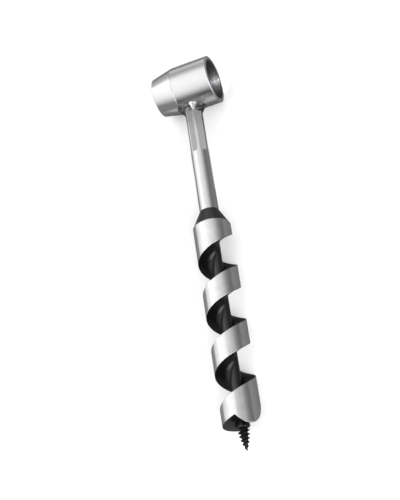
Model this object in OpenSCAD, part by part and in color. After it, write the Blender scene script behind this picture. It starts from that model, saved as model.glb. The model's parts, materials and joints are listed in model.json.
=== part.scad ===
// Hand auger with a tube eye: a bare stick goes through the eye as the handle,
// and the lead screw pulls the single-twist bit into the wood.
// The origin is where the eye's axis crosses the shank's axis. The eye points
// along +X with its large mouth, the shank and the bit run along -Y, and +Z is up.

/* [Eye] */
// Outside diameter of the straight part of the eye
eye_od = 33.6; // [30:0.2:38]
// Wall thickness of the eye
eye_wall = 3.1; // [2.2:0.1:4.2]
// Distance from the shank's axis to the large mouth
mouth_reach = 18.8; // [15:0.2:26]
// Distance from the shank's axis to the small mouth
tail_reach = 23.3; // [20:0.2:32]
// Length of the tapered end of the eye
taper_len = 15.2; // [8:0.2:17]
// Outside diameter at the small mouth
tail_od = 27.2; // [24:0.2:30]
// Chamfer on the outer rims of the eye
rim_chamfer = 0.4; // [0.2:0.05:0.8]
// Chamfer inside the large mouth
lead_in = 0.6; // [0.2:0.05:1]

/* [Shank] */
// Diameter of the round bar that the shank is made from
bar_d = 12.7; // [11:0.1:15]
// Depth of each of the six flats below the round bar
flat_depth = 0.45; // [0.3:0.05:0.7]
// Distance from the eye's axis to the far end of the flats
flat_reach = 54; // [40:0.5:70]
// How far the cutter of the flats reaches past each side of a flat
flat_overrun = 0.35; // [0.1:0.05:1]
// Round length below the flats that belongs to the milled section
flat_tail = 1.7; // [1:0.1:5]
// Turn of the hexagon: angle of one corner from +Z towards +X
corner_turn = 20; // [0:1:60]
// Distance from the eye's axis to the top of the shoulder
shank_reach = 97.6; // [85:0.5:130]

/* [Weld] */
// Leg of the weld along the shank, in line with the eye's seams
weld_on_shank = 6.2; // [3:0.1:8]
// Leg of the weld along the shank, at the sides of the shank
weld_side_leg = 5; // [3:0.1:8]
// Longest leg of the weld along the eye, at the sides of the shank
weld_on_eye = 3.2; // [2:0.1:4]

/* [Bit] */
// Diameter that the bit bores
auger_d = 25; // [22:0.5:32]
// Length of the black cone between the shank and the twist
cone_len = 11; // [7:0.1:14]
// Diameter at the wide end of the cone
cone_d = 24; // [20:0.1:24.5]
// Length of the bright chamfer between the cone and the full diameter
shoulder_chamfer = 0.8; // [0.5:0.1:2]
// Diameter of the solid core
core_d = 6.8; // [6:0.1:9]
// Diameter of the core where it meets the lead screw
boss_d = 8.6; // [7.6:0.1:10]
// Length over which the core swells to that diameter
boss_len = 8; // [4:0.5:14]
// Length of the twist, from the shoulder to the cutting lip
twist_len = 133.5; // [110:0.5:170]
// Advance of the twist in one turn
pitch = 37.5; // [34:0.5:42]
// Width of the ground land, measured along the axis
land_w = 15.9; // [12:0.1:18]
// Radius of the root between the core and the side of the flight that faces the wood
root_r = 3.2; // [2:0.1:4.5]
// Radius of the root on the side of the flight that faces the shank
back_root_r = 0.9; // [0.5:0.1:3]
// Angle at which the flight leaves the shoulder, from +X towards +Z
start_turn = -89; // [-120:1:-60]
// Angle from there to where the flute is fully open
open_turn = 351; // [330:1:360]
// Angle that the closed end of the flute takes to run out
fade_turn = 92; // [60:1:110]

/* [Cutting end] */
// Drop of the ground relief behind the cutting lip
relief_drop = 4.2; // [2:0.1:5]
// Angle from the cutting lip back to the notch in front of the spur
relief_turn = 176; // [160:1:190]
// Greatest height of the spur above the underside of the flight
spur_h = 9.1; // [6:0.1:10]
// Angle that the spur takes round the bit
spur_turn = 124; // [90:1:140]
// Thickness of the spur where it leaves the flight
spur_wall = 2.4; // [1.6:0.1:3]
// Thickness of the spur at its edge
spur_edge = 0.8; // [0.4:0.1:1.4]

/* [Lead screw] */
// Diameter over the thread at its thick end
screw_d = 7.8; // [6:0.1:8.4]
// Length from the cutting lip to the point
screw_len = 15.4; // [12:0.1:20]
// Advance of the screw thread in one turn
screw_pitch = 2.4; // [2:0.1:3.2]
// Length of the plain collar above the thread
collar_len = 0.6; // [0.4:0.1:2]
// Width across the blunt point
point_d = 0.5; // [0.3:0.05:0.8]

/* [Hidden] */
$fn = 96;

hex_sides = 6;
ring_turn = 7.5;        // angle between two cross-sections of the twist
root_steps = 4;         // chords in each root curve of the flight
bead_turn = 7.5;        // angle between two cross-sections of a weld bead
bead_chords = 3;        // chords across a weld bead
bead_ripples = 10;      // ripples along one weld bead
thread_steps = 8;       // cross-sections in one turn of the screw thread
thread_sides = 24;      // corners in one cross-section of the lead screw
thread_root_share = 0.68;        // root radius of the thread, of its crest radius
bead_thin_turn = 30;            // angle at each end of a bead where it stays thin
bead_end_share = 0.1;           // leg on the eye at a bead's ends, of its middle
ripple_share = 0.06;            // height of the ripples, of a bead's legs
bead_power = 2.2;               // form of a bead's face: 2 is flat, more is hollow
taper_power = 2.3;              // roundness of the lead screw's taper
crest_power = 1.5;              // sharpness of its thread
relief_power = 2.4;             // how late the relief behind the lip falls away
wedge_share = 0.012;            // thinnest section of the flight, of the pitch

// Edge of the spur from its heel to the notch: share of the spur's angle,
// then share of the spur's greatest height
spur_edge_shares = [[0, 0.02], [0.08, 0.11], [0.14, 0.27], [0.2, 0.43], [0.25, 0.56], [0.32, 0.75],
                    [0.41, 0.92], [0.51, 1], [0.6, 0.96], [0.69, 0.84], [0.78, 0.66], [0.87, 0.41],
                    [0.92, 0.29], [0.96, 0.15], [1, 0.02]];

eye_r = eye_od / 2;
bore_r = eye_r - eye_wall;
tail_r = tail_od / 2;
tail_bore_r = tail_r - eye_wall;
step_x = taper_len - tail_reach;
bar_r = bar_d / 2;
flat_r = bar_r - flat_depth;
runout_r = sqrt(bar_r * bar_r - flat_r * flat_r) + flat_overrun;
hex_end = flat_reach + flat_tail;
corner_a = 90 - corner_turn;            // angle of one corner from +X towards +Z
auger_r = auger_d / 2;
core_r = core_d / 2;
boss_r = boss_d / 2;
face_y = shank_reach + cone_len + shoulder_chamfer;     // flat face under the shoulder
lip_y = face_y + twist_len;                             // plane of the cutting lip
boss_y = lip_y - boss_len;
thread_y = lip_y + collar_len;
thread_len = screw_len - collar_len;
per_degree = pitch / 360;
wedge_h = pitch * wedge_share;

// Angles grow from +X to +Z to -X, which is clockwise for someone turning the bit
function underside(a) = face_y + per_degree * (a - start_turn);
function topside(a) = underside(a) - land_w;
lip_turn = start_turn + (twist_len + land_w) / per_degree;      // where the top meets the lip plane
notch_turn = lip_turn - relief_turn;
fade_end = start_turn + open_turn;                              // where the open helix begins
first_turn = start_turn + wedge_h / per_degree;
last_turn = lip_turn - wedge_h / per_degree;

// A point of the bit at angle a, distance r from its axis and distance y from the eye's axis
function on_bit(a, r, y) = [r * cos(a), -y, r * sin(a)];
function ease(t) = let (u = min(1, max(0, t))) u * u * (3 - 2 * u);

// The flute is closed at the shoulder: the top of the flight comes down from there to its helix
function fade(a) = ease((a - fade_end + fade_turn) / fade_turn);
function flight_top(a) = max(face_y, face_y + (topside(a) - face_y) * fade(a));
// The end is ground away behind the lip, and below the notch the relief stays level
function ground_end(a) = lip_y - relief_drop * pow(min(1, (lip_turn - a) / relief_turn), relief_power);
function flight_bottom(a) = min(underside(a), ground_end(a));

// Radius of the core at distance y: it swells towards the lead screw
function core_at(y) = core_r + (boss_r - core_r) * max(0, y - boss_y) / boss_len;

// A point of a root curve of radius r: t turns from 0 at the core to 90 at the flight's face
function root_point(y, r, t) = [core_at(y) + r * (1 - cos(t)), y];

// One cross-section of the flight, as [distance from axis, distance from eye], with a root curve
// at each side of the core. The first corner lies on the core, where the core begins to swell.
function flight_section(a) =
    let (top = flight_top(a), bottom = flight_bottom(a),
         high = max(face_y, top - back_root_r), low = min(ground_end(a), bottom + root_r),
         knee = boss_y > high && boss_y < low ? boss_y : (high + low) / 2,
         angles = [for (i = [0:root_steps]) 90 * i / root_steps])
    concat([[core_at(knee), knee]],
           [for (t = angles) root_point(max(face_y, top - back_root_r * (1 - sin(t))), back_root_r, t)],
           [[auger_r, top], [auger_r, bottom]],
           [for (t = angles)
               root_point(min(ground_end(a), bottom + root_r * (1 - cos(t))), root_r, 90 - t)]);

// The wall of the spur at angle a: it stands on the underside of the flight
function spur_height(a) = spur_h * lookup((a - notch_turn + spur_turn) / spur_turn, spur_edge_shares);
function spur_section(a) =
    let (base = flight_bottom(a), edge = base + spur_height(a))
    [[auger_r - spur_wall, base], [auger_r, base], [auger_r, edge], [auger_r - spur_edge, edge]];

// Angles from one end of a stretch to the other, at most step apart
function turns(from, to, step) =
    let (n = ceil((to - from) / step)) [for (i = [0:n]) from + (to - from) * i / n];

// Skin over a row of cross-sections that have the same number of corners
module skin(sections) {
    rows = len(sections);
    n = len(sections[0]);
    sides = [for (i = [0:rows - 2], j = [0:n - 1])
        let (a = i * n + j, b = i * n + (j + 1) % n, c = a + n, d = b + n)
        each [[a, b, d], [a, d, c]]];
    first = [for (j = [1:n - 2]) [0, j + 1, j]];
    last = [for (j = [1:n - 2]) let (k = (rows - 1) * n) [k, k + j, k + j + 1]];
    polyhedron(points = [for (s = sections, p = s) p], faces = concat(sides, first, last));
}

module twist(from, to) {
    skin([for (a = turns(from, to, ring_turn)) [for (p = flight_section(a)) on_bit(a, p[0], p[1])]]);
}

// Lays a shape that is drawn up the Z axis along the shank
module along_shank() {
    rotate([90, 0, 0]) children();
}

module eye_tube() {
    color("silver") rotate([0, 90, 0]) rotate_extrude() polygon([
        [tail_bore_r, -tail_reach],
        [tail_r - rim_chamfer, -tail_reach],
        [tail_r, rim_chamfer - tail_reach],
        [eye_r, step_x],
        [eye_r, mouth_reach - rim_chamfer],
        [eye_r - rim_chamfer, mouth_reach],
        [bore_r + lead_in, mouth_reach],
        [bore_r, mouth_reach - lead_in],
        [bore_r, step_x]
    ]);
}

// Outline of the shank at angle a from +X: a flat, or the bar's own round between two flats
function shank_outline(a) =
    let (side = 360 / hex_sides, off = (a - corner_a + 360) % side - side / 2)
    min(bar_r, flat_r / cos(off));
// Height of the eye's outside above the plane of both axes' crossing, z away from it
function eye_surface(z) = sqrt(eye_r * eye_r - z * z);

// One cross-section of a weld bead: its square corner is where the shank meets the eye.
// The ripples leave its edges where they are. size is 0 at the thin ends and 1 in the middle.
function bead_section(a, size) =
    let (r = shank_outline(a), reach = weld_on_eye * (bead_end_share + (1 - bead_end_share) * size),
         leg = weld_on_shank + (weld_side_leg - weld_on_shank) * size,
         corner = eye_surface(r * sin(a)), on_eye = eye_surface((r + reach) * sin(a)))
    concat([on_bit(a, r, corner)], [for (i = [0:bead_chords])
        let (t = 90 * i / bead_chords, out = pow(cos(t), bead_power), down = pow(sin(t), bead_power),
             swell = 1 + ripple_share * sin(2 * t) * cos(2 * bead_ripples * a))
        on_bit(a, r + reach * out * swell, corner + (on_eye - corner) * out + leg * down * swell)]);

// A bead goes half way round the shank, from one corner of the hexagon to the opposite one
module bead(from) {
    color("dimgray") skin([for (a = turns(from, from + 180, bead_turn))
        bead_section(a, ease((90 - abs(a - from - 90) - bead_thin_turn) / (90 - bead_thin_turn)))]);
}

module weld_bead_mouth_side() {
    bead(corner_a - 180);
}

module weld_bead_tail_side() {
    bead(corner_a);
}

// One milled flat, with the round end that the cutter leaves
module flat_cut() {
    translate([flat_r, 0, 0]) {
        translate([0, -runout_r, 0]) cube([bar_r, 2 * runout_r, flat_reach - runout_r]);
        translate([0, 0, flat_reach - runout_r]) rotate([0, 90, 0]) cylinder(h = bar_r, r = runout_r);
    }
}

module hex_shank() {
    color("gainsboro") difference() {
        along_shank() translate([0, 0, eye_r / 2]) cylinder(h = hex_end - eye_r / 2, r = bar_r);
        along_shank() for (i = [0:hex_sides - 1])
            rotate([0, 0, corner_a + (i + 0.5) * 360 / hex_sides]) flat_cut();
        rotate([0, 90, 0]) cylinder(h = 2 * eye_od, r = eye_r, center = true);
    }
}

module round_shank() {
    color("gainsboro") along_shank() translate([0, 0, hex_end])
        cylinder(h = shank_reach - hex_end, r = bar_r);
}

module shoulder() {
    color("#26272a") along_shank() rotate_extrude() polygon([
        [0, shank_reach],
        [bar_r, shank_reach],
        [cone_d / 2, shank_reach + cone_len],
        [auger_r, face_y],
        [0, face_y]
    ]);
}

module core() {
    color("#1b1c1e") along_shank() rotate_extrude() polygon([
        [0, face_y],
        [core_r, face_y],
        [core_r, boss_y],
        [boss_r, lip_y],
        [0, lip_y]
    ]);
}

module flight() {
    color("lightgray") twist(first_turn, notch_turn);
}

module cutter() {
    color("#4a4b4d") twist(notch_turn, last_turn);
}

module spur() {
    color("lightgray") skin([for (a = turns(notch_turn - spur_turn, notch_turn, ring_turn))
        [for (p = spur_section(a)) on_bit(a, p[0], p[1])]]);
}

// Radius of the thread at angle a and distance y below the collar
function thread_r(a, y) =
    let (taper = 1 - pow(y / thread_len, taper_power),
         crest = point_d / 2 + (screw_d - point_d) / 2 * taper,
         turn = y / screw_pitch - a / 360,
         rise = abs(2 * (turn - floor(turn)) - 1))
    crest * (thread_root_share + (1 - thread_root_share) * pow(rise, crest_power));

module lead_screw() {
    rows = ceil(thread_len / screw_pitch * thread_steps);
    angles = [for (j = [0:thread_sides - 1]) 360 * j / thread_sides];
    collar = [for (y = [lip_y, thread_y]) [for (a = angles) on_bit(a, boss_r, y)]];
    thread = [for (i = [0:rows]) let (y = thread_len * i / rows)
        [for (a = angles) on_bit(a, thread_r(a, y), thread_y + y)]];
    color("#1b1c1e") skin(concat(collar, thread));
}

eye_tube();
weld_bead_mouth_side();
weld_bead_tail_side();
hex_shank();
round_shank();
shoulder();
core();
flight();
cutter();
spur();
lead_screw();
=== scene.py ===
import json
import math

import bmesh
import bpy
from mathutils import Matrix, Vector, noise


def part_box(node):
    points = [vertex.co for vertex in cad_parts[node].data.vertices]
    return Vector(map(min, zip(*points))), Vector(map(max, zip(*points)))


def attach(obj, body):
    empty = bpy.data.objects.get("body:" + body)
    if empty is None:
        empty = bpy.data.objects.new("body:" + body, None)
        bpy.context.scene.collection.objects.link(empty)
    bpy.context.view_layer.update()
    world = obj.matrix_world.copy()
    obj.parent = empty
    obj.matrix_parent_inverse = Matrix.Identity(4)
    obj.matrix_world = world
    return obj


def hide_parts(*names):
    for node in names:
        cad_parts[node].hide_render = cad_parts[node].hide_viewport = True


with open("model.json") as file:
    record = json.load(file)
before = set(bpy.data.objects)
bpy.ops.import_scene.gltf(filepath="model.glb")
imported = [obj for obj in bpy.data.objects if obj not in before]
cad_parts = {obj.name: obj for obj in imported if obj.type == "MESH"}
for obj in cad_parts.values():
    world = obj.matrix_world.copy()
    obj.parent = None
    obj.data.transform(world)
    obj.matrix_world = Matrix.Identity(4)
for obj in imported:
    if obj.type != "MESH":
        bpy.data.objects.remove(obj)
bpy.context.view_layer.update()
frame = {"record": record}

mm = 0.001      # the settings are in millimetres, the scene in metres

# The eye runs along X, the shank and the bit along -Y. Reach is a distance below the eye's axis,
# and a turn is an angle in degrees that grows from +X to +Z.
eyeLow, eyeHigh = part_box("eye_tube")
eyeRadius = eyeHigh.z / mm
tailX = eyeLow.x / mm
mouthX = eyeHigh.x / mm
boreRadius = next(m for m in frame["record"]["mounts"] if m["name"] == "handle_eye")["dims"]["r_mm"]
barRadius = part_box("round_shank")[1].x / mm
shoulderReach = -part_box("round_shank")[0].y / mm
faceReach = -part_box("shoulder")[0].y / mm
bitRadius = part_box("shoulder")[1].x / mm
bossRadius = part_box("core")[1].x / mm
lipReach = -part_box("core")[0].y / mm
pointReach = -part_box("lead_screw")[0].y / mm


class Wire:
    # A socket of a material's node tree, so that sums on values can be written as Python
    def __init__(self, tree, socket=None):
        self.tree = tree
        self.socket = socket

    def node(self, kind, settings=None, values=None, out=0):
        made = self.tree.nodes.new(kind)
        for name, value in (settings or {}).items():
            if name == "stops":
                setStops(made.color_ramp, value)
            else:
                setattr(made, name, value)
        for name, value in (values or {}).items():
            if isinstance(value, Wire):
                self.tree.links.new(value.socket, made.inputs[name])
            else:
                made.inputs[name].default_value = value
        return Wire(self.tree, made.outputs[out])

    def calc(self, operation, first, second):
        return self.node("ShaderNodeMath", {"operation": operation}, {0: first, 1: second})

    def __add__(self, other):
        return self.calc("ADD", self, other)

    def __radd__(self, other):
        return self.calc("ADD", other, self)

    def __sub__(self, other):
        return self.calc("SUBTRACT", self, other)

    def __rsub__(self, other):
        return self.calc("SUBTRACT", other, self)

    def __mul__(self, other):
        return self.calc("MULTIPLY", self, other)

    def __rmul__(self, other):
        return self.calc("MULTIPLY", other, self)

    def __truediv__(self, other):
        return self.calc("DIVIDE", self, other)

    def __pow__(self, other):
        return self.calc("POWER", self, other)

    def to(self, name):
        shader = self.tree.nodes["Principled BSDF"]
        self.tree.links.new(self.socket, shader.inputs[name])


def setStops(ramp, stops):
    while len(ramp.elements) < len(stops):
        ramp.elements.new(1.0)
    for element, (place, colour) in zip(ramp.elements, stops):
        element.position = place
        element.color = colour


def grey(value, blue=1.0):
    return (value, value, value * blue, 1.0)


def newMaterial(name, **constants):
    material = bpy.data.materials.new(name)
    material.use_nodes = True
    shader = material.node_tree.nodes["Principled BSDF"]
    for socket, value in constants.items():
        shader.inputs[socket.replace("_", " ")].default_value = value
    return material, Wire(material.node_tree).node("ShaderNodeTexCoord", out="Object")


def stretched(place, factors):
    # The place with each axis scaled, for a pattern that is longer one way
    return place.node("ShaderNodeMapping", {"vector_type": "POINT"}, {"Vector": place, "Scale": factors})


def grain(place, size, factors=(1, 1, 1), detail=3.0, rough=0.55):
    # Noise from 0 to 1 whose features are about size millimetres
    return place.node("ShaderNodeTexNoise", {"noise_dimensions": "3D"},
                      {"Vector": stretched(place, factors), "Scale": 1 / (size * mm),
                       "Detail": detail, "Roughness": rough})


def rise(value, start, end):
    # 0 below start, 1 above end, smooth between
    return value.node("ShaderNodeMapRange", {"interpolation_type": "SMOOTHSTEP"},
                      {"Value": value, "From Min": start, "From Max": end})


def blendColour(factor, low, high):
    return factor.node("ShaderNodeMix", {"data_type": "RGBA"}, {0: factor, 6: low, 7: high}, out=2)


def axes(place):
    split = place.node("ShaderNodeSeparateXYZ", values={"Vector": place})
    made = split.socket.node
    return [Wire(place.tree, made.outputs[i]) for i in range(3)]


def shankRadius(place):
    # Distance from the axis of the shank and the bit, in millimetres
    x, y, z = axes(place)
    return (x * x + z * z) ** 0.5 / mm


def bump(place, height, strength, depth):
    place.node("ShaderNodeBump", values={"Height": height, "Strength": strength,
                                         "Distance": depth * mm}).to("Normal")


def turnedSteel():
    # Lathe-turned steel: rings round the eye, soft smears, painted shade beside the weld and a bore painted
    # dark as shade
    material, place = newMaterial("turnedSteel")
    x, y, z = axes(place)
    rings = grain(place, 0.35, (1, 0.02, 0.02), 2.0)
    smears = grain(place, 9, (0.5, 1, 1))
    scratches = rise(grain(place, 0.9, (0.06, 1, 1), 2.0), 0.66, 0.8)
    around = (y * y + z * z) ** 0.5 / mm
    behind = tailX + eye["taperLength"] - x / mm
    narrowing = behind.calc("MAXIMUM", behind, 0) * (eyeRadius - eye["tailRadius"]) / eye["taperLength"]
    inside = 1 - rise(around + narrowing, boreRadius + 0.1, boreRadius + 0.4)
    besideBar = 1 - rise(shankRadius(place), barRadius + 0.5, barRadius + 7)
    # painted shade: the eye is painted darker where it meets the shank, beside the weld
    paintedShadeAtJoint = besideBar * (1 - rise(y, -0.012, -0.008))
    shade = rise(smears, 0.3, 0.75)
    clean = blendColour(shade, grey(0.58, 1.01), grey(0.63, 1.01))
    withJointShade = blendColour(paintedShadeAtJoint * 0.6, clean, (0.46, 0.45, 0.445, 1))
    line = 1 - rise(((x / mm - tailX - eye["taperLength"]) ** 2) ** 0.5, 0.08, 0.3)
    lined = blendColour(line * (1 - inside) * 0.5, withJointShade, grey(0.25))
    rim = rise(x / mm, mouthX - 0.5, mouthX - 0.2)
    bare = blendColour(rim * (1 - inside), lined, grey(0.5))
    # painted shade: the bore is painted dark grey at the mouth, fading to nearly black between 3.5 and 10 mm
    # in
    paintedBoreShade = 1 - rise(x / mm, mouthX - 10, mouthX - 3.5)
    bore = blendColour(inside, bare, blendColour(paintedBoreShade, grey(0.12, 1.04), grey(0.012)))
    # painted shade: a nearly black line round the inner edge of the mouth
    paintedLipShade = rise(x / mm, mouthX - 0.75, mouthX - 0.55) * (1 - rise(around, boreRadius + 0.5, boreRadius + 0.65))
    blendColour(paintedLipShade * 0.8, bore, grey(0.02)).to("Base Color")
    (1 - rim * 0.1 - inside * (1 - rim) * 0.15).to("Metallic")
    worn = rings * 0.05 + smears * 0.05 + scratches * 0.05
    (0.2 + worn + rim * 0.15 + inside * 0.13 + paintedShadeAtJoint * 0.08).to("Roughness")
    # inside, the rings are the coarse grooves of the boring tool
    bump(place, (rings + scratches * -0.4) * 0.003 + rings * inside * (1 - rim), 1.0, 0.2)
    return material


def milledSteel():
    # Bright drawn bar, with six matte milled flats and a painted shadow below the eye
    material, place = newMaterial("milledSteel")
    y = axes(place)[1]
    flats = 1 - rise(shankRadius(place), barRadius - 0.1, barRadius - 0.03)
    drawn = grain(place, 0.5, (1, 0.05, 1), 2.0)
    milled = grain(place, 0.45, (0.25, 1, 0.25), 2.0)
    blotches = grain(place, 5)
    # painted shadow: the shank is painted darker towards the eye, fully above 22 mm below the eye's axis and
    # fading out by 42 mm, as if the eye shaded it
    paintedShadeAtJoint = rise(y, -0.042, -0.022)
    shade = rise(blotches, 0.3, 0.75)
    bright = blendColour(shade, grey(0.585), grey(0.61))
    dull = blendColour(shade, grey(0.275), grey(0.3))
    steel = blendColour(flats, bright, dull)
    blendColour(paintedShadeAtJoint * 0.6, steel, (0.13, 0.128, 0.13, 1)).to("Base Color")
    (0.18 + drawn * 0.05 * (1 - flats) + flats * (0.3 + milled * 0.1) + paintedShadeAtJoint * 0.08).to("Roughness")
    (1 - flats * 0.95).to("Metallic")
    bump(place, drawn * (1 - flats) * 0.3 + milled * flats, 0.1, 0.02)
    return material


def weldMetal():
    # Weld bead: dark scale over lumpy metal, wiped bright where it is smooth at the seams
    material, place = newMaterial("weldMetal", Metallic=1.0)
    x, y, z = axes(place)
    away = (z * math.cos(seamTurn) - x * math.sin(seamTurn)) / mm
    width = weld["seamWidth"] + (y / mm + weld["seamReach"]) * weld["seamSpread"]
    bright = 1 - rise((away * away) ** 0.5 / width, 0.7, 1.25)
    streaks = grain(place, 2.4, (1, 1.6, 1), 2.0, 0.5)
    scale = grain(place, 0.8, detail=2.0)
    dark = blendColour(rise(streaks, 0.36, 0.66), grey(0.045, 1.05), grey(0.2, 1.02))
    blendColour(bright, dark, grey(0.7)).to("Base Color")
    (0.36 + scale * 0.12 - bright * 0.16).to("Roughness")
    bump(place, streaks + scale * 0.3, 0.2, 0.1)
    return material


def bitFinish():
    # The whole bit: ground bright where it bears on the hole, satin black elsewhere
    material, place = newMaterial("bitFinish", Specular_IOR_Level=finish["gloss"])
    x, y, z = axes(place)
    radius = shankRadius(place)
    reach = y / -mm
    ragged = grain(place, 0.8, detail=2.0) * 0.012
    brightFrom = bitRadius - finish["brightDepth"]
    bright = rise(radius + ragged, brightFrom, brightFrom + 0.012)
    endFrom = lipReach - finish["endHeight"]
    end = rise(reach, endFrom, endFrom + 0.4)
    end = end * (1 - rise(radius, bitRadius - 0.15, bitRadius - 0.1))
    end = end * rise(radius, bossRadius + 0.4, bossRadius + 1)
    facet = math.radians(notchTurn + finish["facetTurn"] / 2)
    toFacet = (x * math.cos(facet) + z * math.sin(facet)) / (radius * mm)
    end = end * (1 - rise(toFacet, math.cos(math.radians(finish["facetTurn"])), 0.97))
    grind = grain(place, 0.35, (0.12, 1, 0.12), 2.0)
    blotches = grain(place, 6)
    peel = grain(place, 0.9, detail=2.0)
    dust = rise(grain(place, 2.2, detail=5.0), 0.58, 0.8)
    steel = blendColour(rise(blotches, 0.3, 0.75), grey(0.6), grey(0.66))
    lacquer = blendColour(dust, (0.0025, 0.0025, 0.0027, 1), (0.007, 0.007, 0.0073, 1))
    ground = blendColour(rise(grind, 0.3, 0.7), grey(0.03), grey(0.07))
    blendColour(bright, blendColour(end, lacquer, ground), steel).to("Base Color")
    metal = bright + end * 0.7
    metal.calc("MINIMUM", metal, 1.0).to("Metallic")
    (0.26 + peel * 0.06 + dust * 0.08 + bright * (grind * 0.05 - 0.1)).to("Roughness")
    bump(place, peel * (1 - bright) + grind * bright * 0.05, 0.08, 0.02)
    return material


def blackLacquer():
    # Satin black on the cone, the core and the screw, with a bright chamfer under the cone
    material, place = newMaterial("blackLacquer", Specular_IOR_Level=finish["barGloss"])
    edge = rise(shankRadius(place), coneRadius - 0.02, coneRadius + 0.06)
    peel = grain(place, 0.9, detail=2.0)
    dust = rise(grain(place, 2.2, detail=5.0), 0.55, 0.8)
    lacquer = blendColour(dust, (0.002, 0.002, 0.0021, 1), (0.006, 0.006, 0.0062, 1))
    blendColour(edge, lacquer, grey(0.64)).to("Base Color")
    edge.to("Metallic")
    (0.26 + peel * 0.06 + dust * 0.08 - edge * 0.08).to("Roughness")
    bump(place, peel, 0.12, 0.03)
    return material


def newPiece(name, bm, sharpTurn=30):
    mesh = bpy.data.meshes.new(name)
    for face in bm.faces:
        face.smooth = True
    bm.to_mesh(mesh)
    bm.free()
    mesh.set_sharp_from_angle(angle=math.radians(sharpTurn))
    piece = bpy.data.objects.new(name, mesh)
    bpy.context.scene.collection.objects.link(piece)
    return piece


def evenShading(piece):
    # The large faces keep their own normals, so a rounded edge doesn't shade them
    even = piece.modifiers.new("evenShading", "WEIGHTED_NORMAL")
    even.weight = 100
    even.keep_sharp = True


def finishPiece(piece, material, slot, *nodes):
    piece.data.materials.clear()
    piece.data.materials.append(material)
    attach(piece, "root")
    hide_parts(*nodes)
    print("made", piece.name, len(piece.data.polygons), "faces")


def edgeLoop(bm, points, closed=True):
    # A few vertices joined in a row
    verts = [bm.verts.new(p) for p in points]
    ends = verts[1:] + verts[:1] if closed else verts[1:]
    return verts, [bm.edges.new(pair) for pair in zip(verts, ends)]


def turned(name, outline, axis, steps, bevels=None, sharpTurn=30):
    # Spins an outline of (along, radius) pairs, in millimetres, round the X or the -Y axis.
    # bevels gives the width of the rounding at some of the outline's corners.
    bm = bmesh.new()
    corner = bm.verts.layers.int.new("corner")
    if axis == "x":
        points = [(along * mm, 0, radius * mm) for along, radius in outline]
        direction = (1, 0, 0)
    else:
        points = [(radius * mm, -along * mm, 0) for along, radius in outline]
        direction = (0, 1, 0)
    verts, edges = edgeLoop(bm, points)
    for i, vert in enumerate(verts):
        vert[corner] = i
    bmesh.ops.spin(bm, geom=verts + edges, cent=(0, 0, 0), axis=direction, dvec=(0, 0, 0),
                   angle=math.tau, space=Matrix.Identity(4), steps=steps, use_merge=True)
    bmesh.ops.remove_doubles(bm, verts=bm.verts, dist=0.002 * mm)
    for i, width in (bevels or {}).items():
        rim = [e for e in bm.edges if all(v[corner] == i for v in e.verts)]
        bmesh.ops.bevel(bm, geom=rim, offset=width * mm, offset_type="OFFSET", segments=3, profile=0.5,
                        affect="EDGES", material=-1, clamp_overlap=True)
    bmesh.ops.dissolve_degenerate(bm, edges=bm.edges, dist=0.0005 * mm)
    bmesh.ops.delete(bm, geom=[e for e in bm.edges if not e.link_faces], context="EDGES")
    bmesh.ops.recalc_face_normals(bm, faces=bm.faces)
    return newPiece(name, bm, sharpTurn)


def ease(t):
    u = min(1.0, max(0.0, t))
    return u * u * (3 - 2 * u)


# The eye: a turned tube, straight at its mouth and tapered outside and inside at its tail
eye = {
    "wall": 3.1,
    "taperLength": 15.2,
    "tailRadius": 13.6,
    "rimChamfer": 0.4,
    "tailChamfer": 0.18,
    "leadIn": 0.6,
    "lineDepth": 0.06,      # the tool's line where the taper starts
    "lineWidth": 0.3,
    "rounding": 0.12,
    "steps": 192,
}


def makeEye():
    stepX = tailX + eye["taperLength"]
    tail = eye["tailRadius"]
    chamfer = eye["rimChamfer"]
    line = eye["lineWidth"] / 2
    outline = [
        (tailX, tail - eye["wall"]),
        (tailX, tail - eye["tailChamfer"]),
        (tailX + eye["tailChamfer"], tail),
        (stepX - line, eyeRadius),
        (stepX, eyeRadius - eye["lineDepth"]),
        (stepX + line, eyeRadius),
        (mouthX - chamfer, eyeRadius),
        (mouthX, eyeRadius - chamfer),
        (mouthX, boreRadius + eye["leadIn"]),
        (mouthX - eye["leadIn"], boreRadius),
        (stepX, boreRadius),
    ]
    rounded = {i: eye["rounding"] for i in (0, 6, 7, 8, 9)}
    piece = turned("eyeTube", outline, "x", eye["steps"], rounded, 9)
    finishPiece(piece, turnedSteel(), "turned_steel", "eye_tube")


# The shank: a round bar with six milled flats that end in the cutter's round run-out
shank = {
    "flatDepth": 0.45,
    "flatReach": 54,
    "flatOverrun": 0.35,
    "cornerTurn": 70,
    "topReach": 15,         # hidden in the wall of the eye
    "endCover": 0.5,        # length hidden in the shoulder
    "edgeRounding": 0.09,
    "runOut": 1.1,          # radius of the milling cutter's corner at the end of a flat
    "steps": 192,
}
flatRadius = barRadius - shank["flatDepth"]
seamTurn = math.radians(shank["cornerTurn"])


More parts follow.
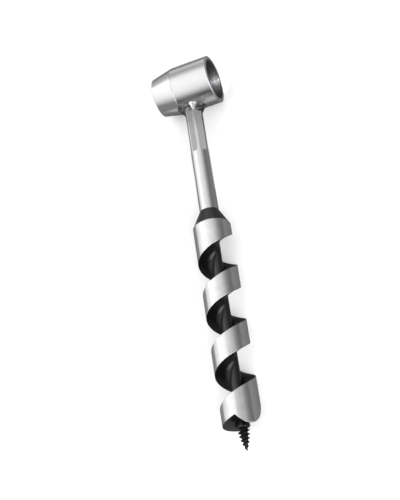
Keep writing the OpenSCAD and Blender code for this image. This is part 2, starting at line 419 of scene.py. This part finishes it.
def makeShank():
    length = shoulderReach + shank["endCover"] - shank["topReach"]
    bm = bmesh.new()
    bmesh.ops.create_cone(bm, cap_ends=True, cap_tris=False, segments=shank["steps"], radius1=barRadius * mm,
                          radius2=barRadius * mm, depth=length * mm)
    bmesh.ops.rotate(bm, verts=bm.verts, cent=(0, 0, 0), matrix=Matrix.Rotation(math.pi / 2, 3, "X"))
    bmesh.ops.translate(bm, verts=bm.verts, vec=(0, -(shank["topReach"] + length / 2) * mm, 0))
    bar = newPiece("shank", bm)
    cutters = [makeFlatCutter(shank["cornerTurn"] + 60 * i + 30) for i in range(6)]
    for cutter in cutters:
        cut = bar.modifiers.new("flat", "BOOLEAN")
        cut.operation = "DIFFERENCE"
        cut.solver = "EXACT"
        cut.object = cutter
    rounding = bar.modifiers.new("edges", "BEVEL")
    rounding.width = shank["edgeRounding"] * mm
    rounding.segments = 3
    rounding.limit_method = "ANGLE"
    rounding.angle_limit = math.radians(14)
    bar.data = bpy.data.meshes.new_from_object(bar.evaluated_get(bpy.context.evaluated_depsgraph_get()))
    bar.modifiers.clear()
    bar.data.name = "shank"
    for cutter in cutters:
        bpy.data.objects.remove(cutter)
    for polygon in bar.data.polygons:
        polygon.use_smooth = True
    bar.data.set_sharp_from_angle(angle=math.radians(30))
    evenShading(bar)
    finishPiece(bar, milledSteel(), "milled_steel", "hex_shank", "round_shank")


def makeFlatCutter(turn):
    # A long slot shape, from a circle whose upper half is moved up along the shank
    radius = math.sqrt(barRadius ** 2 - flatRadius ** 2) + shank["flatOverrun"]
    bm = bmesh.new()
    made = bmesh.ops.create_circle(bm, cap_ends=True, segments=64, radius=radius * mm)
    for vert in made["verts"]:
        if vert.co.y < 1e-7:
            vert.co.y += (radius - shank["flatReach"]) * mm
    bottom = bm.faces[:]
    made = bmesh.ops.extrude_face_region(bm, geom=bottom)
    raised = [v for v in made["geom"] if isinstance(v, bmesh.types.BMVert)]
    bmesh.ops.translate(bm, verts=raised, vec=(0, 0, barRadius * mm))
    bend = (radius - shank["flatReach"] + 0.01) * mm
    floorEnd = [e for e in bm.edges if all(v.co.z < 1e-7 and v.co.y < bend for v in e.verts)]
    bmesh.ops.bevel(bm, geom=floorEnd, offset=shank["runOut"] * mm, offset_type="OFFSET", segments=6,
                    profile=0.5, affect="EDGES", material=-1, clamp_overlap=True)
    bmesh.ops.translate(bm, verts=bm.verts, vec=(0, 0, flatRadius * mm))
    bmesh.ops.rotate(bm, verts=bm.verts, cent=(0, 0, 0),
                     matrix=Matrix.Rotation(math.radians(90 - turn), 3, "Y"))
    bmesh.ops.recalc_face_normals(bm, faces=bm.faces)
    return newPiece("flatCutter", bm)


# The weld: one bead that runs round the shank, thin at the front and back seams
weld = {
    "shankLeg": 6.2,
    "shankLegAtSides": 5.0,
    "eyeLeg": 3.4,
    "tailSideLeg": 4.8,     # wider on the side of the eye's tail
    "thinTurn": 30,
    "thinShare": 0.1,
    "hollow": 2.2,          # 2 is a flat face, more is hollow
    "lump": 0.5,            # height of the lumps
    "ripple": 0.1,          # height of the ripples of the bead
    "rippleTurn": 15,
    "sunk": 0.15,           # how far its edges go under the metal beside it
    "innerInset": 1.2,      # depth of its hidden inner edge in the shank
    "seamWidth": 0.5,       # half width of the bright seam at its lower end
    "seamReach": 22,        # where that end is
    "seamSpread": 0.32,     # how much wider it gets towards the eye
    "steps": 300,
    "chords": 18,
}


def weldPoint(turn, t):
    # A point of the bead's face: t runs from 0 on the eye to 1 on the shank
    turn = turn % 360
    off = (turn - shank["cornerTurn"]) % 60 - 30
    start = min(barRadius, flatRadius / math.cos(math.radians(off)))
    fromSeam = (turn - shank["cornerTurn"]) % 180
    size = ease((90 - abs(fromSeam - 90) - weld["thinTurn"]) / (90 - weld["thinTurn"]))
    full = weld["tailSideLeg"] if 0 < (turn - shank["cornerTurn"]) % 360 < 180 else weld["eyeLeg"]
    leg = full * (weld["thinShare"] + (1 - weld["thinShare"]) * size)
    drop = weld["shankLeg"] + (weld["shankLegAtSides"] - weld["shankLeg"]) * size
    sine = math.sin(math.radians(turn))
    corner = math.sqrt(eyeRadius ** 2 - (start * sine) ** 2)
    onEye = math.sqrt(eyeRadius ** 2 - ((start + leg) * sine) ** 2)
    along = math.cos(t * math.pi / 2) ** weld["hollow"]
    down = math.sin(t * math.pi / 2) ** weld["hollow"]
    lumps = math.sin(t * math.pi) * ease(abs(90 - abs(fromSeam - 90)) / 26)
    spot = Vector((turn / 24, t * 2.4, 4))
    wave = math.sin(turn * math.tau / weld["rippleTurn"] + 5 * t + 2 * noise.noise(spot * 0.7))
    raised = lumps * (weld["lump"] * noise.noise(spot) + weld["ripple"] * wave)
    edge = -weld["sunk"] if t in (0, 1) else 0
    radius = start + leg * along + (raised + edge) * 0.7
    reach = corner + (onEye - corner) * along + drop * down + (raised + edge * 0.5) * 0.7
    angle = math.radians(turn)
    return Vector((radius * math.cos(angle) * mm, -reach * mm, radius * math.sin(angle) * mm))


def makeWeld():
    bm = bmesh.new()
    corner = bm.verts.layers.int.new("corner")
    inner = Vector(((barRadius - weld["innerInset"]) * mm, -eyeRadius * mm, 0))
    points = [inner] + [weldPoint(0, i / weld["chords"]) for i in range(weld["chords"] + 1)]
    verts, edges = edgeLoop(bm, points)
    for i, vert in enumerate(verts):
        vert[corner] = i
    bmesh.ops.spin(bm, geom=verts + edges, cent=(0, 0, 0), axis=(0, -1, 0), dvec=(0, 0, 0),
                   angle=math.tau, space=Matrix.Identity(4), steps=weld["steps"], use_merge=True)
    for vert in bm.verts:
        turn = math.degrees(math.atan2(vert.co.z, vert.co.x))
        if vert[corner] > 0:
            vert.co = weldPoint(turn, (vert[corner] - 1) / weld["chords"])
        else:
            onEye = math.sqrt(eyeRadius ** 2 - (barRadius * math.sin(math.radians(turn))) ** 2)
            vert.co.y = -(onEye - weld["innerInset"]) * mm
    bmesh.ops.recalc_face_normals(bm, faces=bm.faces)
    piece = newPiece("weld", bm, 50)
    finishPiece(piece, weldMetal(), "weld_metal", "weld_bead_mouth_side", "weld_bead_tail_side")


# The shoulder: the black cone between the shank and the twist, with a bright chamfer under it
shoulder = {
    "chamfer": 0.8,
    "coneRadius": 12.0,
    "rounding": 0.25,
    "steps": 192,
}
coneRadius = shoulder["coneRadius"]


def makeShoulder():
    outline = [
        (shoulderReach, 0),
        (shoulderReach, barRadius),
        (faceReach - shoulder["chamfer"], coneRadius),
        (faceReach, bitRadius),
        (faceReach, 0),
    ]
    piece = turned("shoulderCone", outline, "y", shoulder["steps"], {1: shoulder["rounding"]}, 9)
    finishPiece(piece, blackLacquer(), "black_finish", "shoulder")


# The core: a plain bar that swells towards the lead screw
core = {
    "radius": 3.4,
    "bossLength": 8,
    "swellSteps": 6,
    "topCover": 1,          # length hidden in the shoulder
    "steps": 96,
}


def coreAt(reach):
    share = max(0, reach - lipReach + core["bossLength"]) / core["bossLength"]
    return core["radius"] + (bossRadius - core["radius"]) * share


def makeCore():
    top = faceReach - core["topCover"]
    outline = [(top, 0), (top, core["radius"])]
    for i in range(core["swellSteps"] + 1):
        reach = lipReach - core["bossLength"] * (1 - i / core["swellSteps"])
        outline.append((reach, coreAt(reach)))
    outline.append((lipReach, 0))
    piece = turned("coreBar", outline, "y", core["steps"], None, 24)
    finishPiece(piece, bpy.data.materials["blackLacquer"], "black_finish", "core")


# The twist: one flight with a ground land, its cutting end and the spur that scores the hole's rim
twist = {
    "pitch": 37.5,
    "landWidth": 15.9,
    "frontRoot": 3.6,
    "backRoot": 0.9,
    "startTurn": -89,
    "openTurn": 351,
    "fadeTurn": 92,
    "lipThickness": 0.35,
    "reliefDrop": 4.9,
    "reliefTurn": 176,
    "reliefPower": 3.3,
    "spurHeight": 9.1,
    "spurTurn": 124,
    "spurWall": 2.4,
    "spurEdge": 0.8,
    "edgeRounding": 0.22,
    "sunk": 0.04,           # how far its roots go into the core
    "stepTurn": 2.5,
    "rootSteps": 8,
}
finish = {
    "brightDepth": 0.02,    # depth below the full radius to which the steel is ground bright
    "endHeight": 4.5,       # length of the cutting end that is ground grey
    "gloss": 0.32,          # of the lacquer in the flutes
    "barGloss": 0.5,        # of the lacquer on the cone, the core and the screw
    "facetTurn": 26,        # width of the dark facet between the notch and the ground end
}
# Edge of the spur from its heel to the notch: share of its angle, share of its height
spurEdgeShares = [(0, 0.02), (0.08, 0.11), (0.14, 0.27), (0.2, 0.43), (0.25, 0.56), (0.32, 0.75),
                  (0.41, 0.92), (0.51, 1), (0.6, 0.96), (0.69, 0.84), (0.78, 0.66), (0.87, 0.41),
                  (0.92, 0.29), (0.96, 0.15), (1, 0.02)]
perDegree = twist["pitch"] / 360
lipTurn = twist["startTurn"] + (lipReach - faceReach + twist["landWidth"]) / perDegree
notchTurn = lipTurn - twist["reliefTurn"]
fadeEnd = twist["startTurn"] + twist["openTurn"]


def undersideReach(turn):
    return faceReach + perDegree * (turn - twist["startTurn"])


def topReach(turn):
    opened = ease((turn - fadeEnd + twist["fadeTurn"]) / twist["fadeTurn"])
    return max(faceReach, faceReach + (undersideReach(turn) - twist["landWidth"] - faceReach) * opened)


def groundReach(turn):
    share = min(1, (lipTurn - turn) / twist["reliefTurn"])
    return lipReach - twist["reliefDrop"] * share ** twist["reliefPower"]


def spurSlope(i):
    fromPlace, low = spurEdgeShares[max(0, i - 1)]
    toPlace, high = spurEdgeShares[min(len(spurEdgeShares) - 1, i + 1)]
    return (high - low) / (toPlace - fromPlace)


def spurHeight(turn):
    # A smooth curve through the shares
    place = (turn - notchTurn) / twist["spurTurn"] + 1
    if not 0 <= place <= 1:
        return 0
    i = next(i for i in range(len(spurEdgeShares) - 1) if place <= spurEdgeShares[i + 1][0])
    (fromPlace, low), (toPlace, high) = spurEdgeShares[i:i + 2]
    gap = toPlace - fromPlace
    t = (place - fromPlace) / gap
    share = low + (high - low) * ease(t)
    share += gap * t * (1 - t) * ((1 - t) * spurSlope(i) - t * spurSlope(i + 1))
    return twist["spurHeight"] * max(0.0, share)


def flightSection(turn):
    # Corners of the section at one turn, as (radius, reach), from the back root round to the front root
    top = topReach(turn)
    ground = groundReach(turn)
    bottom = min(undersideReach(turn), ground)
    edge = bottom + spurHeight(turn)
    angles = [math.pi / 2 * i / twist["rootSteps"] for i in range(twist["rootSteps"] + 1)]
    back, front = twist["backRoot"], twist["frontRoot"]
    section = []
    for angle in angles:
        reach = max(faceReach, top - back * (1 - math.sin(angle)))
        section.append((coreAt(reach) - twist["sunk"] + back * (1 - math.cos(angle)), reach))
    section += [(bitRadius, top), (bitRadius, edge), (bitRadius - twist["spurEdge"], edge),
                (bitRadius - twist["spurWall"], bottom)]
    for angle in reversed(angles):
        reach = min(ground, bottom + front * (1 - math.sin(angle)))
        section.append((coreAt(reach) - twist["sunk"] + front * (1 - math.cos(angle)), reach))
    return section


def makeTwist():
    thin = twist["lipThickness"] / perDegree
    firstTurn = twist["startTurn"] + thin
    lastTurn = lipTurn - thin
    count = math.ceil((lastTurn - firstTurn) / twist["stepTurn"])
    turns = [firstTurn + (lastTurn - firstTurn) * i / count for i in range(count + 1)]
    # the stations nearest to the changes of form are moved onto them
    meetTurn = twist["startTurn"] + (lipReach - twist["reliefDrop"] - faceReach) / perDegree
    for change in (notchTurn, meetTurn, notchTurn - twist["spurTurn"], fadeEnd - twist["fadeTurn"], fadeEnd):
        nearest = min(range(count + 1), key=lambda i: abs(turns[i] - change))
        turns[nearest] = change
    bm = bmesh.new()
    corner = bm.verts.layers.int.new("corner")
    section = flightSection(firstTurn)
    points = [(radius * mm, -reach * mm, 0) for radius, reach in section]
    verts, edges = edgeLoop(bm, points)
    for i, vert in enumerate(verts):
        vert[corner] = i
    stepReach = perDegree * (lastTurn - firstTurn) / count
    bmesh.ops.spin(bm, geom=verts + edges, cent=(0, 0, 0), axis=(0, -1, 0), dvec=(0, -stepReach * mm, 0),
                   angle=math.radians(lastTurn - firstTurn), space=Matrix.Identity(4), steps=count)
    sections = [flightSection(turn) for turn in turns]
    for vert in bm.verts:
        i = vert[corner]
        station = round((-vert.co.y / mm - section[i][1]) / stepReach)
        radius, reach = sections[station][i]
        angle = math.radians(turns[station])
        vert.co = (radius * math.cos(angle) * mm, -reach * mm, radius * math.sin(angle) * mm)
    bmesh.ops.holes_fill(bm, edges=[e for e in bm.edges if e.is_boundary], sides=0)
    bmesh.ops.recalc_face_normals(bm, faces=bm.faces)
    # the land's two edges and the spur's inner edge are rounded
    landTop = twist["rootSteps"] + 1
    crisp = []
    for edge in bm.edges:
        first, second = edge.verts
        if first[corner] != second[corner]:
            continue
        belowFace = -max(first.co.y, second.co.y) / mm > faceReach + 0.3
        if first[corner] == landTop and belowFace or first[corner] == landTop + 1:
            crisp.append(edge)
        elif first[corner] == landTop + 2 and edge.calc_face_angle(0) > 0.5:
            crisp.append(edge)
    bmesh.ops.bevel(bm, geom=crisp, offset=twist["edgeRounding"] * mm, offset_type="OFFSET", segments=2,
                    profile=0.5, affect="EDGES", material=-1, clamp_overlap=True)
    bmesh.ops.dissolve_degenerate(bm, edges=bm.edges, dist=0.0005 * mm)
    piece = newPiece("twist", bm, 20)
    finishPiece(piece, bitFinish(), "ground_steel", "flight", "cutter", "spur")


# The lead screw: a tapered thread below a short collar
screw = {
    "diameter": 7.8,
    "pitch": 2.4,
    "collarLength": 0.6,
    "growLength": 1.6,      # length over which the thread grows out of the collar
    "pointDiameter": 0.5,
    "tipLength": 0.2,       # length over which the end rounds off to a point
    "rootShare": 0.54,
    "taperPower": 2.3,
    "crestPower": 1.5,
    "rowsPerTurn": 24,
    "steps": 72,
}


def threadRadius(wave, depth, length):
    taper = 1 - (depth / length) ** screw["taperPower"]
    crest = (screw["pointDiameter"] + (screw["diameter"] - screw["pointDiameter"]) * taper) / 2
    share = 1 - (1 - screw["rootShare"]) * ease(depth / screw["growLength"])
    height = abs(2 * (wave - math.floor(wave)) - 1)
    tip = min(1, round(length - depth, 3) / screw["tipLength"]) ** 0.5
    return crest * tip * (share + (1 - share) * height ** screw["crestPower"])


def makeScrew():
    start = lipReach + screw["collarLength"]
    length = pointReach - start
    rowStep = screw["pitch"] / screw["rowsPerTurn"]
    rows = math.ceil(length / rowStep) + screw["rowsPerTurn"]
    reaches = [lipReach, start] + [start - screw["pitch"] + rowStep * i for i in range(rows + 1)]
    bm = bmesh.new()
    row = bm.verts.layers.int.new("row")
    verts, edges = edgeLoop(bm, [(bossRadius * mm, -reach * mm, 0) for reach in reaches], False)
    for i, vert in enumerate(verts):
        vert[row] = i
    # each row of the thread goes down by one pitch in its turn, so it follows the crest
    bmesh.ops.spin(bm, geom=verts + edges, cent=(0, 0, 0), axis=(0, -1, 0),
                   dvec=(0, -screw["pitch"] / screw["steps"] * mm, 0), angle=math.tau,
                   space=Matrix.Identity(4), steps=screw["steps"])
    for vert in bm.verts:
        i = vert[row]
        part = round((-vert.co.y / mm - reaches[i]) / screw["pitch"] * screw["steps"]) / screw["steps"]
        depth = min(length, max(0, reaches[i] + part * screw["pitch"] - start))
        wave = (i - 2) / screw["rowsPerTurn"]
        if i > 1:
            radius, reach = threadRadius(wave, depth, length), start + depth
        else:
            radius, reach = bossRadius, reaches[i]
        angle = part * math.tau
        vert.co = (radius * math.cos(angle) * mm, -reach * mm, radius * math.sin(angle) * mm)
    bmesh.ops.remove_doubles(bm, verts=bm.verts, dist=0.0005 * mm)
    bmesh.ops.holes_fill(bm, edges=[e for e in bm.edges if e.is_boundary], sides=0)
    bmesh.ops.recalc_face_normals(bm, faces=bm.faces)
    piece = newPiece("leadScrew", bm, 40)
    finishPiece(piece, bpy.data.materials["blackLacquer"], "black_finish", "lead_screw")


# The stage: a pale floor that the eye and the twist both lie on. Its sizes are in metres.
stage = {
    "floorSize": 6.0,
    "floorColour": 0.86,
    "floorLift": 0.1,               # a little light of its own keeps the floor pale
    "floorInReflections": 0.18,     # the floor is greyer for the metal than for the camera
    "patchInReflections": 0.62,     # and a painted pool of light below the front of the eye, seen only in reflections
    "patchX": (-0.01, 0.02, 0.032),     # its middle, and half its width inside and outside its soft edge
    "patchFront": (-0.08, -0.062),
    "patchBack": (-0.033, -0.027),
    "touch": 0.24,                  # from the eye's line of rest to that of the bit
}
# The soft light from all round: its level, and its share by the X and the Y of its direction
studio = {
    "level": 1.65,
    "surround": 1.0,
    "across": [(-1, 0.6), (-0.88, 0.8), (-0.7, 1.0), (-0.5, 1.0), (-0.28, 0.98), (0.0, 0.82),
               (0.22, 0.78), (0.46, 0.58), (0.66, 0.33), (0.8, 0.19), (0.91, 0.12), (1, 0.12)],
    "along": [(-1, 0.0), (-0.96, 0.03), (-0.9, 0.3), (-0.77, 0.66), (-0.58, 0.86), (-0.35, 0.97),
              (-0.09, 1.0), (0.18, 1.0), (0.43, 0.95), (0.55, 0.85), (0.68, 0.58), (0.82, 0.32),
              (0.92, 0.42), (0.97, 0.7)],
    "flag": 0.45,           # how much a dark flag takes away where the cutting end reflects it
    "flagX": (0.27, 0.18, 0.36),        # its middle, and half its width inside and outside its soft edge
    "flagY": (0.18, 0.08, 0.18),
}
# The soft panels, in metres and watts
panels = {
    "strip": {
        "place": (-0.65, 0.36, 0.65),
        "aim": (0, -0.12, 0),
        "width": 0.5,
        "length": 0.16,
        "power": 0.35,
    },
    "side": {
        "place": (0.8, -0.8, 0.55),
        "aim": (0, -0.1, 0),
        "width": 1.2,
        "length": 1.2,
        "power": 20.0,
    },
}
# A narrow beam into the mouth of the eye; its cone is in degrees
beam = {
    "place": (0.28, -0.22, 0.6),
    "aim": (0.0205, 0.0, 0.0),
    "cone": 1.4,
    "blend": 0.9,
    "radius": 0.003,
    "power": 60.0,
}


def within(value, span):
    # 1 near the middle, 0 outside the soft edge
    middle, inner, outer = span
    return 1 - rise(((value - middle) ** 2) ** 0.5, inner, outer)


def makeStage():
    floorLow = -eyeRadius * mm
    floorHigh = -bitRadius * mm
    slope = math.atan((floorHigh - floorLow) / stage["touch"])
    bm = bmesh.new()
    bmesh.ops.create_grid(bm, x_segments=1, y_segments=1, size=stage["floorSize"] / 2)
    bmesh.ops.rotate(bm, verts=bm.verts, cent=(0, 0, 0), matrix=Matrix.Rotation(-slope, 3, "X"))
    bmesh.ops.translate(bm, verts=bm.verts, vec=(0, 0, floorLow / math.cos(slope)))
    floor = newPiece("floor", bm)
    material, place = newMaterial("floorPaint", Roughness=0.8, Emission_Strength=1.0)
    seen = place.node("ShaderNodeLightPath", out="Is Camera Ray")
    paint = blendColour(rise(grain(place, 40), 0.3, 0.7), grey(stage["floorColour"] - 0.01),
                        grey(stage["floorColour"] + 0.01))
    x, y = axes(place)[:2]
    # painted light: a lighter pool on the floor that only the metal sees, a painted reflection in the eye's
    # lower side
    patch = rise(y, *stage["patchFront"]) * (1 - rise(y, *stage["patchBack"])) * within(x, stage["patchX"])
    reflected = blendColour(patch, grey(stage["floorInReflections"]), grey(stage["patchInReflections"]))
    blendColour(seen, reflected, paint).to("Base Color")
    blendColour(seen, grey(0), grey(stage["floorLift"])).to("Emission Color")
    floor.data.materials.append(material)
    print("laid the floor")


def addLight(name, kind, settings):
    data = bpy.data.lights.new(name, kind)
    data.energy = settings["power"]
    light = bpy.data.objects.new(name, data)
    light.location = settings["place"]
    back = Vector(settings["place"]) - Vector(settings["aim"])
    light.rotation_euler = back.to_track_quat("Z", "Y").to_euler()
    bpy.context.scene.collection.objects.link(light)
    return data


def makeLights():
    for name, panel in panels.items():
        data = addLight(name, "AREA", panel)
        data.shape = "RECTANGLE"
        data.size = panel["width"]
        data.size_y = panel["length"]
    data = addLight("mouth", "SPOT", beam)
    data.spot_size = math.radians(beam["cone"])
    data.spot_blend = beam["blend"]
    data.shadow_soft_size = beam["radius"]
    print("set", len(panels) + 1, "lights")


def falloff(value, stops):
    # The share of the light for each value from -1 to 1
    marks = [((where + 1) / 2, grey(share)) for where, share in stops]
    return value.node("ShaderNodeValToRGB", {"stops": marks}, {0: value * 0.5 + 0.5})


def makeWorld():
    # A studio that is brightest overhead and to the left, and falls off to the right and to both ends
    world = bpy.data.worlds.new("studio")
    world.use_nodes = True
    tree = world.node_tree
    place = Wire(tree).node("ShaderNodeTexCoord", out="Generated")
    x, y = axes(place)[:2]
    across = falloff(x, studio["across"])
    ends = y.calc("MINIMUM", y, y / (1 - x * x * 0.8) ** 0.5)
    along = falloff(ends, studio["along"])
    flag = within(x, studio["flagX"]) * within(y, studio["flagY"]) * studio["flag"]
    level = across * along * (1 - flag) * studio["level"]
    seen = place.node("ShaderNodeLightPath", out="Is Camera Ray")
    strength = level * (1 - seen) + seen * studio["surround"]
    tree.links.new(strength.socket, tree.nodes["Background"].inputs["Strength"])
    tree.nodes["Background"].inputs["Color"].default_value = (1, 1, 1, 1)
    bpy.context.scene.world = world


# The camera, from a fit of the tool's outlines to its sizes, in the 400 by 500 frame
camera = {
    "place": (191.3, -388.8, 561.4),
    "right": (0.90996, -0.13617, -0.3917),
    "up": (0.27665, 0.90298, 0.32877),
    "focalPixels": 1000.07,
    "frameHeight": 500,
    "sensor": 36.0,
}


def makeCamera():
    data = bpy.data.cameras.new("camera")
    data.sensor_width = camera["sensor"]
    data.lens = camera["focalPixels"] * camera["sensor"] / camera["frameHeight"]
    data.clip_start = 0.01
    right = Vector(camera["right"]).normalized()
    back = right.cross(Vector(camera["up"])).normalized()
    turn = Matrix((right, back.cross(right), back)).transposed().to_4x4()
    view = bpy.data.objects.new("camera", data)
    view.matrix_world = Matrix.Translation(Vector(camera["place"]) * mm) @ turn
    bpy.context.scene.collection.objects.link(view)
    bpy.context.scene.camera = view


makeCamera()
makeEye()
makeShank()
makeWeld()
makeShoulder()
makeCore()
makeTwist()
makeScrew()
makeStage()
makeLights()
makeWorld()
bpy.context.scene.view_settings.view_transform = "Standard"
print("scene built")
